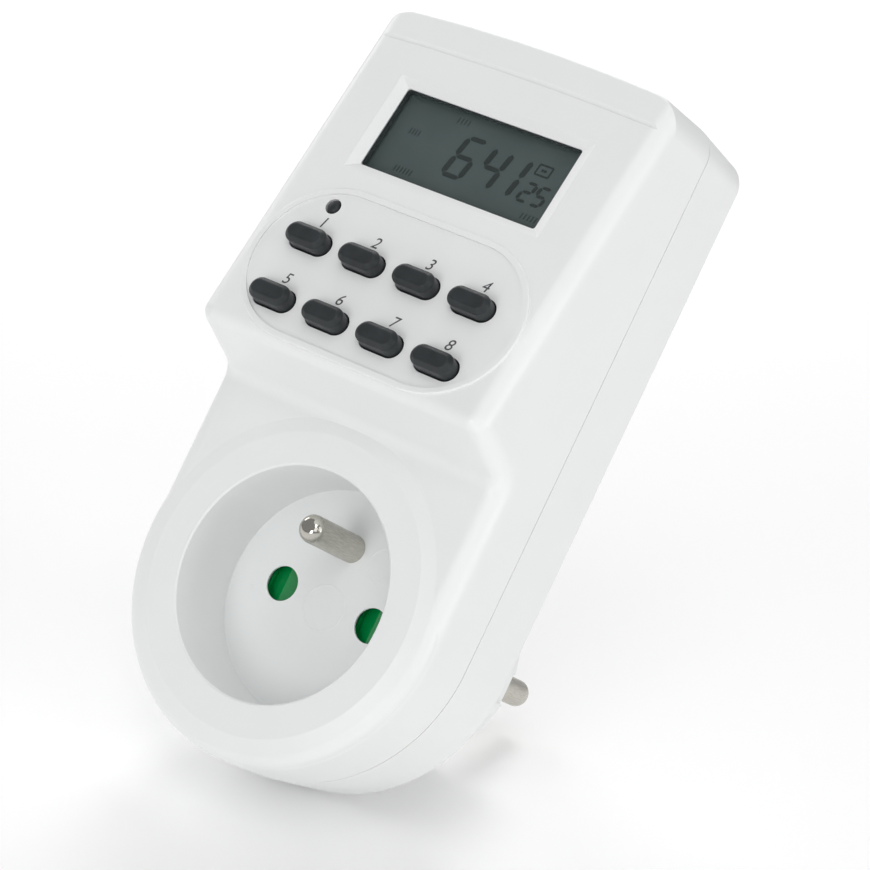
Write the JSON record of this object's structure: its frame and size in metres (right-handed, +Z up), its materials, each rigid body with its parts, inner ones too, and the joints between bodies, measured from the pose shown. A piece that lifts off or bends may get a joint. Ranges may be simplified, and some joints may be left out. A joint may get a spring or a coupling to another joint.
{
  "type": "plug in timer switch",
  "caption": "Plug in digital timer switch: round pin plug behind, round socket in front, sloping deck with display, keys and reset button.",
  "frame": {"origin": "centre of the plug face, midway between the roots of its two pins", "axes": "+X to the right seen from the front, +Y into the wall along the plug pins, +Z up towards the display"},
  "size_m": [0.0596, 0.0862, 0.126],
  "materials": {
    "white_casing": "fine satin",
    "white_insert": "fine satin",
    "shutter_green": "glossy",
    "nickel": "polished nickel",
    "brass": "satin",
    "steel": "satin",
    "clear_window": "clear",
    "lcd_glass": "smooth grey green",
    "key_rubber": "matte dark grey",
    "mat_rubber": "matte grey",
    "carbon": "matte black",
    "board_green": "lacquered",
    "board_buff": "paper laminate",
    "black_plastic": "matte black",
    "relay_blue": "moulded",
    "capacitor_yellow": "moulded",
    "varistor_blue": "dipped",
    "resistor_grey": "cement",
    "wire_brown": "insulation",
    "wire_blue": "insulation",
    "ribbon_grey": "insulation"
  },
  "bodies": {
    "case": {"front_cover": "white_casing", "rear_cover": "white_casing", "plug_boss": "white_casing", "socket_insert": "white_insert", "socket_earth_pin": "nickel", "shutter_spring": "steel", "shutter_retainer": "white_insert", "retainer_screws": "steel", "live_contact": "brass", "neutral_contact": "brass", "live_terminal": "brass", "earth_strap": "brass", "plug_live_pin": "nickel", "plug_neutral_pin": "nickel", "plug_earth_contact": "brass", "plug_earth_clips": "nickel", "live_wire": "wire_brown", "switched_wire": "wire_brown", "neutral_wire": "wire_blue", "display_window": "clear_window", "lcd_panel": "lcd_glass", "lcd_holder": "black_plastic", "zebra_strips": "mat_rubber", "keypad_mat": "mat_rubber", "contact_pads": "carbon", "control_board": "board_green", "board_screws": "steel", "controller_chip": "black_plastic", "clock_crystal": "steel", "backup_battery": "steel", "battery_tabs": "nickel", "ribbon_cable": "ribbon_grey", "ribbon_header": "black_plastic", "power_board": "board_buff", "power_board_screws": "steel", "relay": "relay_blue", "mains_capacitor": "capacitor_yellow", "smoothing_capacitor": "black_plastic", "varistor": "varistor_blue", "rectifier_diodes": "black_plastic", "dropper_resistor": "resistor_grey", "case_screws": "steel"},
    "button_1": {"button_1": "key_rubber"},
    "button_2": {"button_2": "key_rubber"},
    "button_3": {"button_3": "key_rubber"},
    "button_4": {"button_4": "key_rubber"},
    "button_5": {"button_5": "key_rubber"},
    "button_6": {"button_6": "key_rubber"},
    "button_7": {"button_7": "key_rubber"},
    "button_8": {"button_8": "key_rubber"},
    "reset_button": {"reset_button": "key_rubber"},
    "safety_shutter": {"safety_shutter": "shutter_green"}
  },
  "joints": [
    {"name": "button_1_press", "type": "slide", "parent": "case", "child": "button_1", "axis": [0, 0.9785, -0.2062], "range_m": [0, 0.001], "stiffness_N_per_m": 300},
    {"name": "button_2_press", "type": "slide", "parent": "case", "child": "button_2", "axis": [0, 0.9785, -0.2062], "range_m": [0, 0.001], "stiffness_N_per_m": 300},
    {"name": "button_3_press", "type": "slide", "parent": "case", "child": "button_3", "axis": [0, 0.9785, -0.2062], "range_m": [0, 0.001], "stiffness_N_per_m": 300},
    {"name": "button_4_press", "type": "slide", "parent": "case", "child": "button_4", "axis": [0, 0.9785, -0.2062], "range_m": [0, 0.001], "stiffness_N_per_m": 300},
    {"name": "button_5_press", "type": "slide", "parent": "case", "child": "button_5", "axis": [0, 0.9785, -0.2062], "range_m": [0, 0.001], "stiffness_N_per_m": 300},
    {"name": "button_6_press", "type": "slide", "parent": "case", "child": "button_6", "axis": [0, 0.9785, -0.2062], "range_m": [0, 0.001], "stiffness_N_per_m": 300},
    {"name": "button_7_press", "type": "slide", "parent": "case", "child": "button_7", "axis": [0, 0.9785, -0.2062], "range_m": [0, 0.001], "stiffness_N_per_m": 300},
    {"name": "button_8_press", "type": "slide", "parent": "case", "child": "button_8", "axis": [0, 0.9785, -0.2062], "range_m": [0, 0.001], "stiffness_N_per_m": 300},
    {"name": "reset_press", "type": "slide", "parent": "case", "child": "reset_button", "axis": [0, 0.9785, -0.2062], "range_m": [0, 0.0008], "stiffness_N_per_m": 300},
    {"name": "shutter_slide", "type": "slide", "parent": "case", "child": "safety_shutter", "axis": [1, 0, 0], "range_m": [0, 0.0066], "stiffness_N_per_m": 60, "deforming": ["shutter_spring"]}
  ]
}
